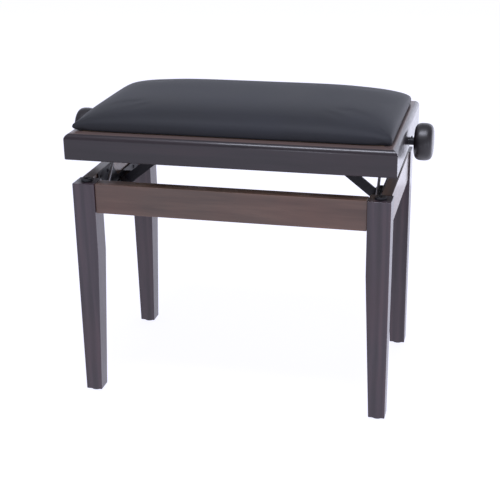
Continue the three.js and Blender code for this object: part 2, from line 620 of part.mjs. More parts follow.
function addNut(name, sx) {
  const x = sx * NUT_X;
  const side = NUT_WIDTH / 2;
  const low = NUT_Z - NUT_HEIGHT / 2;
  const high = NUT_Z + NUT_HEIGHT / 2;
  const block = box(x - NUT_LENGTH / 2, x + NUT_LENGTH / 2, -side, side, low, high);
  const bossEnd = side + CHANNEL_PLAY + 2 * CHANNEL_WALL;
  const boss = rod(PIN_RADIUS, point(x, side - PIN_GRIP, NUT_Z), point(x, bossEnd, NUT_Z));
  const bore = rod(NUT_BORE_RADIUS, point(x - NUT_LENGTH, 0, NUT_Z), point(x + NUT_LENGTH, 0, NUT_Z));
  const socketEnd = -side + PIN_GRIP + TOUCH_GAP;
  const socket = rod(PIN_RADIUS + TOUCH_GAP, point(x, socketEnd, NUT_Z), point(x, -2 * side, NUT_Z));
  add(`spindle_nut_${name}`, cut(join(block, boss), bore, socket), zincSteel);
  const shank = side - PIN_GRIP;
  const strutFront = -STRUT_PLANE_Y + STRUT_THICKNESS / 2 + TOUCH_GAP;
  const length = strutFront - shank;
  const profile = [
    [0, 0], [PIN_RADIUS, 0], [PIN_RADIUS, length], [PIN_HEAD_RADIUS, length],
    [PIN_HEAD_RADIUS, length + PIN_HEAD_HEIGHT], [0, length + PIN_HEAD_HEIGHT],
  ];
  const pin = aim(turned(profile, 20), point(x, -shank, NUT_Z), point(x, -2 * side, NUT_Z));
  add(`nut_pin_${name}`, pin, zincSteel);
}

function addHoldSpring(name, sx, sy) {
  const low = point(sx * HOOK_X, sy * BASE_HOOK_Y, BASE_HOOK_Z);
  const high = point(sx * HOOK_X, sy * SEAT_HOOK_Y, SEAT_HOOK_Z);
  const along = new THREE.Vector3().subVectors(high, low).normalize();
  const from = low.clone().addScaledVector(along, HOLD_SPRING_END_GAP);
  const to = high.clone().addScaledVector(along, -HOLD_SPRING_END_GAP);
  add(`hold_spring_${name}`, rod(HOLD_SPRING_RADIUS, from, to, 12), springSteel);
}

for (const [name, sx, sy] of CORNERS) {
  addLeg(name, sx, sy);
  addCornerBlock(name, sx, sy);
  addLegBolt(name, sx, sy);
  addFootAndBumper(name, sx, sy);
  addHoldSpring(name, sx, sy);
}
addLongApron('front', -1);
addLongApron('rear', 1);
addLongRail('front', -1);
addLongRail('rear', 1);
addPanel();
addCushion();
addChannel();
addSpindle();
for (const [name, sx] of SIDES) {
  addEndApron(name, sx);
  addEndPlate(name, sx);
  addLowerPin(name, sx);
  addLiftSpring(name, sx);
  addEndRail(name, sx);
  addSeatPlate(name, sx);
  addBush(name, sx);
  addKnob(name, sx);
  addCollar(name, sx);
  addStrut(name, sx);
  addNut(name, sx);
}

export default bench;
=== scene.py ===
import math

import bmesh
import bpy
from bpy.props import FloatProperty, FloatVectorProperty, PointerProperty
from mathutils import Matrix, Vector


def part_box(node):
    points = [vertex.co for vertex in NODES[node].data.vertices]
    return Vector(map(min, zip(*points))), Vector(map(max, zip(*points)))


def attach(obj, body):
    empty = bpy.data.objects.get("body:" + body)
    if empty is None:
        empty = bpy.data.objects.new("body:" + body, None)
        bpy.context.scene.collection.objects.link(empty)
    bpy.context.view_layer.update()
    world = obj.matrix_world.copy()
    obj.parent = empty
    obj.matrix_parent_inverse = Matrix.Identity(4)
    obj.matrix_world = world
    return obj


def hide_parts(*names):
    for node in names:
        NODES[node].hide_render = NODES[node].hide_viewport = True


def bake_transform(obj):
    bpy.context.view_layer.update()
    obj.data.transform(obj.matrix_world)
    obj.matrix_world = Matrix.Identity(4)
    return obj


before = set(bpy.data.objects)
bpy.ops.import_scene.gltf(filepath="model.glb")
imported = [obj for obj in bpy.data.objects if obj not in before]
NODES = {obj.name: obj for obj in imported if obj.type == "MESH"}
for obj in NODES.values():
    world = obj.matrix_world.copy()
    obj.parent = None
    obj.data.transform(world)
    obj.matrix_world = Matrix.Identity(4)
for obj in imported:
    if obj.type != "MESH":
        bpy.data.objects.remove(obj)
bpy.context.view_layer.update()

bl_info = {
    "name": "Piano Bench Finish",
    "version": (1, 0, 0),
    "blender": (4, 5, 0),
    "location": "View3D > Sidebar > Bench",
    "description": "Builds the woodwork, cushion, lift and studio of an adjustable piano bench",
    "category": "Object",
}

SIDES = (("left", -1), ("right", 1))
CORNERS = (
    ("front_left", -1, -1), ("front_right", 1, -1), ("rear_left", -1, 1), ("rear_right", 1, 1),
)
SHARP_ANGLE = math.radians(32)
COLOUR = {"subtype": "COLOR", "size": 3, "min": 0, "max": 1}


# Sizes read from the frame

def centre_of(node):
    low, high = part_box(node)
    return (low + high) / 2


def scaled(colour, *factors):
    """A colour times one factor, or times one factor for each channel."""
    if len(factors) == 1:
        factors *= 3
    return tuple(channel * factor for channel, factor in zip(colour, factors))


def with_settings(thing, **settings):
    for key, value in settings.items():
        setattr(thing, key, value)
    return thing


# Node trees

def add_node(tree, kind, values=None, **settings):
    """Adds a node, sets its own properties, then its unlinked inputs by name or number."""
    node = with_settings(tree.nodes.new(kind), **settings)
    for key, value in (values or {}).items():
        node.inputs[key].default_value = value
    return node


def link(tree, source, target):
    tree.links.new(source, target)


def blank_material(name, base, roughness, **constants):
    """A material with one Principled shader; constants are set on the shader's own sockets."""
    material = bpy.data.materials.new(name)
    material.use_nodes = True
    tree = material.node_tree
    shader = tree.nodes["Principled BSDF"]
    shader.inputs["Base Color"].default_value = (*base, 1)
    shader.inputs["Roughness"].default_value = roughness
    for key, value in constants.items():
        shader.inputs[key.replace("_", " ")].default_value = value
    return material, tree, shader


def mapped(tree, scale, offset=(0, 0, 0)):
    """Object coordinates stretched by scale, so a pattern can run along a board."""
    place = add_node(tree, "ShaderNodeTexCoord")
    mapping = add_node(tree, "ShaderNodeMapping")
    mapping.inputs["Scale"].default_value = scale
    mapping.inputs["Location"].default_value = offset
    link(tree, place.outputs["Object"], mapping.inputs["Vector"])
    return mapping.outputs["Vector"]


def noise_of(tree, vector, scale, detail=4, roughness=0.5, distortion=0.0):
    node = add_node(tree, "ShaderNodeTexNoise", {
        "Scale": scale, "Detail": detail, "Roughness": roughness, "Distortion": distortion,
    })
    link(tree, vector, node.inputs["Vector"])
    return node.outputs["Fac"]


def ramp_of(tree, factor, stops):
    """A colour ramp from (position, colour) stops."""
    node = add_node(tree, "ShaderNodeValToRGB")
    ramp = node.color_ramp
    while len(ramp.elements) < len(stops):
        ramp.elements.new(0.5)
    for element, (position, colour) in zip(ramp.elements, stops):
        element.position = position
        element.color = (*colour, 1)
    link(tree, factor, node.inputs["Fac"])
    return node.outputs["Color"]


def range_of(tree, factor, low, high, source=(0.3, 0.7)):
    """Maps a factor from a source range to low..high."""
    node = add_node(tree, "ShaderNodeMapRange", {
        "From Min": source[0], "From Max": source[1], "To Min": low, "To Max": high,
    })
    link(tree, factor, node.inputs["Value"])
    return node.outputs["Result"]


def maths(tree, operation, a, b):
    node = add_node(tree, "ShaderNodeMath", operation=operation)
    for socket, value in zip(node.inputs, (a, b)):
        if isinstance(value, (int, float)):
            socket.default_value = value
        else:
            link(tree, value, socket)
    return node.outputs["Value"]


def blended(tree, *terms):
    """The sum of (socket, weight) terms."""
    total = None
    for socket, weight in terms:
        term = maths(tree, "MULTIPLY", socket, weight)
        total = term if total is None else maths(tree, "ADD", total, term)
    return total


def normal_height(tree, output):
    """The upward part of a surface normal."""
    surface = add_node(tree, "ShaderNodeNewGeometry")
    parts = add_node(tree, "ShaderNodeSeparateXYZ")
    link(tree, surface.outputs[output], parts.inputs["Vector"])
    return parts.outputs["Z"]


def mixed(tree, factor, a, b, blend_type="MIX"):
    """Mixes two colours; each is a socket or a plain colour."""
    node = add_node(tree, "ShaderNodeMix", data_type="RGBA", blend_type=blend_type)
    for socket, value in ((node.inputs[0], factor), (node.inputs[6], a), (node.inputs[7], b)):
        if isinstance(value, (int, float)):
            socket.default_value = value
        elif isinstance(value, bpy.types.NodeSocket):
            link(tree, value, socket)
        else:
            socket.default_value = (*value, 1)
    return node.outputs[2]


def bump(tree, shader, height, strength, distance):
    node = add_node(tree, "ShaderNodeBump", {"Strength": strength, "Distance": distance})
    link(tree, height, node.inputs["Height"])
    link(tree, node.outputs["Normal"], shader.inputs["Normal"])


def paint(tree, shader, colour, roughness=None):
    """Feeds the shader's colour, and its roughness where that varies."""
    link(tree, colour, shader.inputs["Base Color"])
    if roughness:
        link(tree, roughness, shader.inputs["Roughness"])


def edge_mask(tree, radius):
    """0 on flats and up to 1 where the surface turns within radius."""
    bevel = add_node(tree, "ShaderNodeBevel", {"Radius": radius}, samples=4)
    surface = add_node(tree, "ShaderNodeNewGeometry")
    dot = add_node(tree, "ShaderNodeVectorMath", operation="DOT_PRODUCT")
    link(tree, bevel.outputs["Normal"], dot.inputs[0])
    link(tree, surface.outputs["Normal"], dot.inputs[1])
    return range_of(tree, dot.outputs["Value"], 1.0, 0.0, (0.8, 0.995))


# Materials

GRAIN_STRETCH = {"x": (1, 14, 14), "y": (14, 1, 14), "z": (14, 14, 1)}


def stained_wood(name, axis, stain, seed, lacquer=1.0, painted_top_light=0.0):
    """Dark stained hardwood under semi-gloss lacquer, with its grain along one axis, edge wear mixed with a
    painted edge highlight, and optionally a painted highlight on upward faces.
    """
    wood = bpy.context.scene.bench_wood
    tone = tuple(getattr(wood, stain))
    material, tree, shader = blank_material(
        name, tone, wood.gloss, Specular_IOR_Level=0.35, Coat_Weight=min(1.0, wood.lacquer * lacquer),
        Coat_Roughness=0.16, Coat_IOR=1.5,
    )
    stretch = GRAIN_STRETCH[axis]
    vector = mapped(tree, stretch, (seed, seed * 0.7, seed * 1.3))
    cloud = noise_of(tree, vector, 2.6, 5, 0.55, 0.6)
    rings = add_node(tree, "ShaderNodeTexWave", {
        "Scale": 1.5, "Distortion": 7.0, "Detail": 3.0, "Detail Scale": 1.4, "Detail Roughness": 0.6,
    }, bands_direction={"x": "Y", "y": "X", "z": "X"}[axis])
    link(tree, vector, rings.inputs["Vector"])
    fibre = noise_of(tree, vector, 34.0, 6, 0.7)
    figure = blended(tree, (cloud, 0.62), (rings.outputs["Fac"], 0.2), (fibre, 0.18))
    dark = scaled(tone, 0.55)
    light = scaled(tone, 1.65, 1.45, 1.35)
    colour = ramp_of(tree, figure, ((0.3, dark), (0.5, tone), (0.72, light)))
    blotch = noise_of(tree, mapped(tree, (3, 3, 3), (seed, 2, 5)), 2.0, 3, 0.5)
    red = scaled(tone, 1.5, 0.95, 0.85)
    colour = mixed(tree, range_of(tree, blotch, 0.0, 0.4, (0.45, 0.75)), colour, red)
    # Painted highlight: faces that point up are mixed toward a far paler tone, standing in for the light that
    # falls on the top strips.
    if painted_top_light:
        upward = range_of(tree, normal_height(tree, "Normal"), 0.0, painted_top_light, (0.93, 0.995))
        edge_wear_and_top_light = scaled(tone, 10.0, 11.0, 7.0)
        colour = mixed(tree, upward, colour, edge_wear_and_top_light)
    # Partly edge wear and partly a painted highlight: the eased edges are mixed toward a much paler tone, as
    # if they caught the light.
    edge_wear_and_highlight = maths(tree, "MULTIPLY", edge_mask(tree, 0.0012), range_of(tree, fibre, 0.25, 0.75))
    colour = mixed(tree, edge_wear_and_highlight, colour, tuple(channel * 2.6 + 0.02 for channel in tone))
    paint(tree, shader, colour, range_of(tree, fibre, wood.gloss - 0.05, wood.gloss + 0.1))
    bump(tree, shader, fibre, 0.12, 0.0004)
    return material


def raw_wood(name, light, dark, axis="x", layers=0.0):
    """Unfinished wood; layers is the thickness of a ply, for the panel's edge."""
    material, tree, shader = blank_material(name, light, 0.78)
    vector = mapped(tree, GRAIN_STRETCH[axis], (3, 1, 2))
    cloud = noise_of(tree, vector, 3.0, 5, 0.6, 0.8)
    figure = blended(tree, (cloud, 0.7), (noise_of(tree, vector, 40.0, 4, 0.7), 0.3))
    colour = ramp_of(tree, figure, ((0.32, dark), (0.68, light)))
    if layers:
        place = add_node(tree, "ShaderNodeTexCoord")
        parts = add_node(tree, "ShaderNodeSeparateXYZ")
        link(tree, place.outputs["Object"], parts.inputs["Vector"])
        band = maths(tree, "PINGPONG", parts.outputs["Z"], layers)
        band = range_of(tree, band, 0.0, 0.5, (layers * 0.4, layers * 0.6))
        slope = maths(tree, "ABSOLUTE", normal_height(tree, "True Normal"), 0)
        upright = maths(tree, "LESS_THAN", slope, 0.5)
        colour = mixed(tree, maths(tree, "MULTIPLY", band, upright), colour, dark)
    paint(tree, shader, colour)
    bump(tree, shader, figure, 0.3, 0.0004)
    return material


def vinyl():
    """Black grained vinyl with a soft sheen."""
    cloth = bpy.context.scene.bench_cushion
    material, tree, shader = blank_material(
        "black_vinyl", cloth.vinyl_colour, 0.68, Sheen_Weight=0.14, Sheen_Roughness=0.4,
        Specular_IOR_Level=0.4,
    )
    vector = mapped(tree, (1, 1, 1))
    cells = add_node(tree, "ShaderNodeTexVoronoi", {"Scale": 720.0, "Randomness": 1.0},
                     feature="DISTANCE_TO_EDGE")
    link(tree, vector, cells.inputs["Vector"])
    pebble = range_of(tree, cells.outputs["Distance"], 0.0, 1.0, (0.0, 0.35))
    crease = noise_of(tree, vector, 240.0, 4, 0.6)
    height = blended(tree, (pebble, 0.7), (crease, 0.5))
    soft = noise_of(tree, vector, 9.0, 3, 0.5)
    base = cloth.vinyl_colour
    dull = scaled(base, 0.8)
    bright = scaled(base, 1.25)
    colour = ramp_of(tree, soft, ((0.35, dull), (0.65, bright)))
    # Painted shade: the grooves between the grain's pebbles are darkened.
    colour = mixed(tree, range_of(tree, pebble, 0.35, 0.0, (0.0, 0.5)), colour, (0.004, 0.004, 0.005))
    paint(tree, shader, colour, range_of(tree, soft, 0.64, 0.74))
    bump(tree, shader, height, 0.22, 0.0002)
    return material


def powder_coat():
    """Black powder-coated steel with a fine orange-peel surface and edges worn paler."""
    steel = bpy.context.scene.bench_steel
    material, tree, shader = blank_material(
        "black_powder_coat", steel.black, 0.5, Specular_IOR_Level=0.33)
    vector = mapped(tree, (1, 1, 1))
    peel = noise_of(tree, vector, 900.0, 2, 0.5)
    dust = noise_of(tree, vector, 45.0, 5, 0.6)
    # Edge wear alone here: worn edges are mixed toward a paler grey.
    edge_wear_and_top_light = maths(tree, "MULTIPLY", edge_mask(tree, 0.0006), range_of(tree, dust, 0.0, 0.5, (0.45, 0.7)))
    colour = mixed(tree, range_of(tree, dust, 0.0, 0.3, (0.45, 0.8)), steel.black, (0.016, 0.016, 0.02))
    colour = mixed(tree, edge_wear_and_top_light, colour, (0.10, 0.10, 0.11))
    paint(tree, shader, colour, range_of(tree, dust, 0.36, 0.52))
    bump(tree, shader, peel, 0.25, 0.0002)
    return material


def bright_steel(name, base, roughness, streak_axis="x"):
    """Plated or oiled steel with fine machining streaks and dull patches."""
    material, tree, shader = blank_material(name, base, roughness, Metallic=1.0)
    stretch = {"x": (1, 60, 60), "y": (60, 1, 60), "z": (60, 60, 1)}[streak_axis]
    streak = noise_of(tree, mapped(tree, stretch), 18.0, 3, 0.6)
    patch = noise_of(tree, mapped(tree, (1, 1, 1)), 60.0, 5, 0.65)
    dull = scaled(base, 0.62)
    colour = ramp_of(tree, patch, ((0.38, dull), (0.62, base)))
    link(tree, colour, shader.inputs["Base Color"])
    blend = blended(tree, (streak, 0.5), (patch, 0.5))
    link(tree, range_of(tree, blend, roughness - 0.08, roughness + 0.16), shader.inputs["Roughness"])
    bump(tree, shader, streak, 0.1, 0.0002)
    return material


def moulded(name, base, roughness, grain=500.0, depth=0.18):
    """Moulded rubber or nylon with a fine spark texture and a little dust."""
    material, tree, shader = blank_material(name, base, roughness)
    vector = mapped(tree, (1, 1, 1))
    speck = noise_of(tree, vector, grain, 3, 0.6)
    dust = noise_of(tree, vector, 55.0, 5, 0.6)
    pale = tuple(channel * 2.2 + 0.01 for channel in base)
    colour = mixed(tree, range_of(tree, dust, 0.0, 0.5, (0.5, 0.8)), base, pale)
    paint(tree, shader, colour, range_of(tree, speck, roughness - 0.06, roughness + 0.08))
    bump(tree, shader, speck, depth, 0.0003)
    return material


def knob_lacquer():
    """Turned wood under dark lacquer: faint grain, turning rings and a glossy coat."""
    wood = bpy.context.scene.bench_wood
    tone = scaled(wood.rail_stain, 0.62)
    material, tree, shader = blank_material(
        "knob_lacquer", tone, 0.4, Coat_Weight=0.3, Coat_Roughness=0.34, Coat_IOR=1.5,
    )
    figure = noise_of(tree, mapped(tree, (5, 60, 60), (2, 7, 4)), 1.6, 5, 0.6, 0.8)
    fibre = noise_of(tree, mapped(tree, (60, 500, 500)), 1.0, 3, 0.6)
    dark = scaled(tone, 0.5)
    light = scaled(tone, 2.0, 1.6, 1.4)
    colour = ramp_of(tree, figure, ((0.35, dark), (0.55, tone), (0.75, light)))
    paint(tree, shader, colour, range_of(tree, fibre, 0.36, 0.46))
    bump(tree, shader, fibre, 0.08, 0.0003)
    return material


MAKERS = {
    # The seat rails' last argument paints a highlight on their upward faces.
    "rail_x": lambda: stained_wood("seat_rail_stain_along_x", "x", "rail_stain", 1.7, 1.0, 1.0),
    "rail_y": lambda: stained_wood("seat_rail_stain_along_y", "y", "rail_stain", 4.1, 1.0, 1.0),
    "apron_x": lambda: stained_wood("apron_stain_along_x", "x", "apron_stain", 8.3),
    "apron_y": lambda: stained_wood("apron_stain_along_y", "y", "apron_stain", 2.9, 1.1),
    "leg_z": lambda: stained_wood("leg_stain_along_z", "z", "leg_stain", 6.2),
    "block": lambda: raw_wood("raw_block_wood", (0.30, 0.19, 0.11), (0.15, 0.09, 0.05), "z"),
    "plywood": lambda: raw_wood("raw_plywood", (0.46, 0.33, 0.19), (0.27, 0.17, 0.09), "x", 0.0024),
    "vinyl": vinyl,
    "black": powder_coat,
    "zinc": lambda: bright_steel("zinc_plated_steel", bpy.context.scene.bench_steel.zinc, 0.32, "y"),
    "thread": lambda: bright_steel("oiled_thread_steel", (0.30, 0.30, 0.31), 0.3, "y"),
    "spring": lambda: bright_steel("oiled_spring_wire", bpy.context.scene.bench_steel.wire, 0.34, "x"),
    "rubber": lambda: moulded("black_rubber", (0.026, 0.026, 0.031), 0.55, 700.0),
    "nylon": lambda: moulded("black_nylon", (0.014, 0.014, 0.016), 0.45, 400.0, 0.1),
    "knob": knob_lacquer,
}


def finish_named(key):
    """The material for one finish, made the first time it is asked for."""
    tag = "bench_" + key
    for material in bpy.data.materials:
        if material.get("bench_finish") == tag:
            return material
    material = MAKERS[key]()
    material["bench_finish"] = tag
    return material


# Mesh building

def new_piece(name, vertices, faces, material, smooth=True):
    mesh = bpy.data.meshes.new(name)
    mesh.from_pydata([tuple(v) for v in vertices], [], faces)
    mesh.validate()
    if smooth:
        mesh.polygons.foreach_set("use_smooth", [True] * len(mesh.polygons))
    piece = bpy.data.objects.new(name, mesh)
    bpy.context.scene.collection.objects.link(piece)
    piece.data.materials.append(material)
    fix_normals(piece)
    return piece


def fix_normals(piece):
    shape = bmesh.new()
    shape.from_mesh(piece.data)
    bmesh.ops.remove_doubles(shape, verts=shape.verts, dist=1e-6)
    bmesh.ops.recalc_face_normals(shape, faces=shape.faces)
    shape.to_mesh(piece.data)
    shape.free()


def axes_along(direction):
    """Three unit vectors: along, and two across."""
    along = Vector(direction).normalized()
    helper = Vector((0, 0, 1)) if abs(along.z) < 0.9 else Vector((1, 0, 0))
    across = along.cross(helper).normalized()
    return along, across, along.cross(across)


def turned_piece(name, profile, origin, direction, material, segments=96):
    """Turns (distance along, radius) points round an axis. A radius of 0 closes the end."""
    along, across, other = axes_along(direction)
    origin = Vector(origin)
    vertices, rings = [], []
    for height, radius in profile:
        centre = origin + along * height
        if radius < 1e-7:
            rings.append([len(vertices)])
            vertices.append(centre)
            continue
        rings.append(list(range(len(vertices), len(vertices) + segments)))
        vertices += circle(centre, across, other, radius, segments)
    faces = []
    for a, b in zip(rings, rings[1:]):
        for i in range(segments):
            j = (i + 1) % segments
            corners = [a[i % len(a)], a[j % len(a)], b[j % len(b)], b[i % len(b)]]
            unique = list(dict.fromkeys(corners))
            if len(unique) > 2:
                faces.append(unique)
    return new_piece(name, vertices, faces, material)


def arc(centre, radius, start, end, steps=8):
    """(along, radius) points round an arc; angles in degrees, 0 along the axis, 90 outwards."""
    points = []
    for i in range(steps + 1):
        angle = math.radians(start + (end - start) * i / steps)
        points.append((centre[0] + radius * math.cos(angle), centre[1] + radius * math.sin(angle)))
    return points


def tube_faces(rings, sides):
    """Faces of a closed tube whose vertices lie in rings of the same number of sides."""
    faces = []
    for i in range(rings - 1):
        for k in range(sides):
            j = (k + 1) % sides
            faces.append((i * sides + k, i * sides + j, (i + 1) * sides + j, (i + 1) * sides + k))
    faces.append(tuple(range(sides - 1, -1, -1)))
    faces.append(tuple(range((rings - 1) * sides, rings * sides)))
    return faces


def circle(centre, across, other, radius, sides):
    """Points round a circle in the plane of two unit vectors."""
    turns = [2 * math.pi * k / sides for k in range(sides)]
    return [centre + (across * math.cos(turn) + other * math.sin(turn)) * radius for turn in turns]


def wire_mesh(path, radius, sides=10):
    """Vertices and faces of a round wire along a list of points, closed at both ends."""
    points = [Vector(p) for p in path]
    vertices = []
    normal = axes_along(points[1] - points[0])[1]
    for i, point in enumerate(points):
        ahead = points[min(i + 1, len(points) - 1)]
        behind = points[max(i - 1, 0)]
        tangent = (ahead - behind).normalized()
        normal = (normal - tangent * normal.dot(tangent)).normalized()
        vertices += circle(point, normal, tangent.cross(normal), radius, sides)
    return vertices, tube_faces(len(points), sides)


def merged(parts):
    """Joins several (vertices, faces) pairs into one."""
    vertices, faces = [], []
    for more_vertices, more_faces in parts:
        start = len(vertices)
        vertices.extend(more_vertices)
        faces.extend(tuple(i + start for i in face) for face in more_faces)
    return vertices, faces


def smooth_group():
    """A node group that shades smooth but keeps sharp edges sharp."""
    group = bpy.data.node_groups.get("smooth_by_angle")
    if group:
        return group
    group = bpy.data.node_groups.new("smooth_by_angle", "GeometryNodeTree")
    group.interface.new_socket("Geometry", in_out="INPUT", socket_type="NodeSocketGeometry")
    group.interface.new_socket("Geometry", in_out="OUTPUT", socket_type="NodeSocketGeometry")
    start = add_node(group, "NodeGroupInput")
    end = add_node(group, "NodeGroupOutput")
    smooth = add_node(group, "GeometryNodeSetShadeSmooth")
    sharp = add_node(group, "GeometryNodeSetShadeSmooth", {"Shade Smooth": False}, domain="EDGE")
    angle = add_node(group, "GeometryNodeInputMeshEdgeAngle")
    compare = add_node(group, "FunctionNodeCompare", data_type="FLOAT", operation="GREATER_THAN")
    compare.inputs["B"].default_value = SHARP_ANGLE
    link(group, start.outputs[0], smooth.inputs["Geometry"])
    link(group, smooth.outputs["Geometry"], sharp.inputs["Geometry"])
    link(group, angle.outputs["Unsigned Angle"], compare.inputs["A"])
    link(group, compare.outputs["Result"], sharp.inputs["Selection"])
    link(group, sharp.outputs["Geometry"], end.inputs[0])
    return group


def modify(piece, name, kind, **settings):
    return with_settings(piece.modifiers.new(name, kind), **settings)


def dress(node, key, edge=0.0006, segments=3):
    """Gives a kept part its finish, eased edges and clean shading."""
    piece = NODES[node]
    piece.data.materials.clear()
    piece.data.materials.append(finish_named(key))
    modify(piece, "weld", "WELD", merge_threshold=0.00002)
    if edge:
        modify(
            piece, "eased_edges", "BEVEL", width=edge, segments=segments, limit_method="ANGLE",
            angle_limit=SHARP_ANGLE, use_clamp_overlap=True,
        )
    modify(piece, "shading", "NODES", node_group=smooth_group())
    modify(piece, "weighted_normals", "WEIGHTED_NORMAL", keep_sharp=True)


def fit_piece(piece, body, slot, *nodes):
    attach(piece, body)
    if nodes:
        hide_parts(*nodes)
    return piece


# Cushion

def crowned(t, power, root):
    return max(0.0, 1 - abs(t) ** power) ** root


def cushion_height(u, v, crown, rim):
    """Height over the seat at u, v from -1 to 1 across the cushion, from its upright rim up."""
    return rim + (crown - rim) * crowned(u, 4.4, 0.4) * crowned(v, 3.4, 0.42)


def cushion_shape(crown, rim, tuck_in, spread_x, spread_y):
    """A closed crowned block: a dense top over a flat bottom."""
    low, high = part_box("seat_cushion")
    centre = (low + high) / 2
    half_x = (high.x - low.x) / 2 + spread_x
    half_y = (high.y - low.y) / 2 + spread_y
    columns, rows = 130, 74
    vertices, faces = [], []
    crowding = 1.7
    waist = 0.006

    def spread(i, count):
        t = 2 * i / count - 1
        return math.copysign(1 - (1 - abs(t)) ** crowding, t)

    for j in range(rows + 1):
        for i in range(columns + 1):
            u, v = spread(i, columns), spread(j, rows)
            pinch = 1 - waist * (1 - u * u) * abs(v) ** 6
            tuck = 1 - waist * (1 - v * v) * abs(u) ** 6
            height = cushion_height(u, v, crown, rim)
            rounding = 0.0035 * abs(u * v) ** 12
            vertices.append(Vector((
                centre.x + half_x * u * tuck - math.copysign(rounding, u),
                centre.y + half_y * v * pinch - math.copysign(rounding, v), low.z + height,
            )))
    start = len(vertices)
    for j in range(rows + 1):
        for i in range(columns + 1):
            top = vertices[j * (columns + 1) + i]
            across = Vector((top.x - centre.x, top.y - centre.y))
            across.x *= 1 - tuck_in / half_x
            across.y *= 1 - tuck_in / half_y
            vertices.append(Vector((centre.x + across.x, centre.y + across.y, low.z)))
    for j in range(rows):
        for i in range(columns):
            a = j * (columns + 1) + i
            b, c, d = a + 1, a + columns + 2, a + columns + 1
            faces.append((a, b, c, d))
            faces.append((start + d, start + c, start + b, start + a))
    outline = list(range(columns + 1))
    outline += [j * (columns + 1) + columns for j in range(1, rows + 1)]
    outline += [rows * (columns + 1) + i for i in range(columns - 1, -1, -1)]
    outline += [j * (columns + 1) for j in range(rows - 1, 0, -1)]
    for a, b in zip(outline, outline[1:] + outline[:1]):
        faces.append((b, a, start + a, start + b))
    return vertices, faces


def remesh(piece, voxel):
    modify(piece, "remesh", "REMESH", mode="VOXEL", voxel_size=voxel, use_smooth_shade=True)
    apply_modifiers(piece)


def apply_modifiers(piece):
    graph = bpy.context.evaluated_depsgraph_get()
    mesh = bpy.data.meshes.new_from_object(piece.evaluated_get(graph), depsgraph=graph)
    old = piece.data
    piece.modifiers.clear()
    piece.data = mesh
    bpy.data.meshes.remove(old)


def puff(piece, pressure, limit, floor_z, frames=20, evening=4):
    """Swells the cushion as cloth under pressure, with its bottom held, and caps each point's move."""
    scene = bpy.context.scene
    rest = [v.co.copy() for v in piece.data.vertices]
    group = piece.vertex_groups.new(name="held")
    held = [i for i, co in enumerate(rest) if co.z < floor_z + 0.003]
    group.add(held, 1.0, "REPLACE")
    cloth = modify(piece, "cloth", "CLOTH")
    with_settings(
        cloth.settings, use_pressure=True, uniform_pressure_force=pressure, tension_stiffness=40,
        compression_stiffness=40, shear_stiffness=20, bending_stiffness=2, vertex_group_mass="held",
    )
    cloth.settings.effector_weights.gravity = 0
    cloth.collision_settings.use_collision = False
    with_settings(cloth.point_cache, frame_start=1, frame_end=frames)
    for step in range(1, frames + 1):
        scene.frame_set(step)
    apply_modifiers(piece)
    scene.frame_set(1)
    moves = []
    for vertex, start in zip(piece.data.vertices, rest):
        move = vertex.co - start
        moves.append(move * min(1.0, limit / max(move.length, 1e-9)))
    for _ in range(evening):
        moves = evened(piece.data.edges, moves)
    for vertex, start, move in zip(piece.data.vertices, rest, moves):
        vertex.co = start + move
        vertex.co.z = max(vertex.co.z, floor_z)


def evened(edges, moves):
    """Each move averaged with those of the neighbouring points."""
    totals = [move.copy() for move in moves]
    counts = [1] * len(moves)
    for edge in edges:
        a, b = edge.vertices
        totals[a] += moves[b]
        totals[b] += moves[a]
        counts[a] += 1
        counts[b] += 1
    return [total / count for total, count in zip(totals, counts)]


def settle_corners(piece, low, high):
    """Small tucks and a folded ear where the cover is gathered at the four corners."""
    reach, ear, ear_height = 0.05, 0.013, 0.005
    for vertex in piece.data.vertices:
        co = vertex.co
        corner = Vector((high.x if co.x > 0 else low.x, high.y if co.y > 0 else low.y, low.z))
        offset = co - corner
        distance = offset.length
        if distance > reach or co.z < low.z + 0.0015:
            continue
        angle = math.atan2(abs(offset.y), abs(offset.x))
        fold = math.cos(angle * 14) * 0.5 + math.cos(angle * 6 + 0.6) * 0.5
        fade = (1 - distance / reach) ** 1.5
        outward = Vector((corner.x, corner.y, 0)).normalized()
        vertex.co = co + (Vector((0, 0, 0.6)) + outward * 0.4) * fold * fade * 0.0014
        swell = math.exp(-((offset - Vector((0, 0, ear_height))).length / ear) ** 2)
        fullness = 1.0 if co.x < 0 and co.y < 0 else 0.15
        vertex.co.x += math.copysign(0.0085 * swell * fullness, co.x)
        vertex.co.y += math.copysign(0.0012 * swell * fullness, co.y)


# Registered settings

class BenchWoodSettings(bpy.types.PropertyGroup):
    rail_stain: FloatVectorProperty(
        name="Seat rail stain", description="Base colour of the seat frame",
        default=(0.012, 0.0075, 0.0105), **COLOUR)
    apron_stain: FloatVectorProperty(
        name="Apron stain", description="Base colour of the four aprons",
        default=(0.092, 0.055, 0.040), **COLOUR)
    leg_stain: FloatVectorProperty(
        name="Leg stain", description="Base colour of the four legs",
        default=(0.038, 0.027, 0.035), **COLOUR)
    gloss: FloatProperty(
        name="Roughness", description="Roughness of the stained surface", min=0.05, max=1, default=0.38)
    lacquer: FloatProperty(
        name="Lacquer", description="Strength of the clear coat", min=0, max=1, default=0.45)
    edge_ease: FloatProperty(
        name="Edge ease", description="Radius of the sanded edges",
        min=0, max=0.004, default=0.0014, unit="LENGTH")


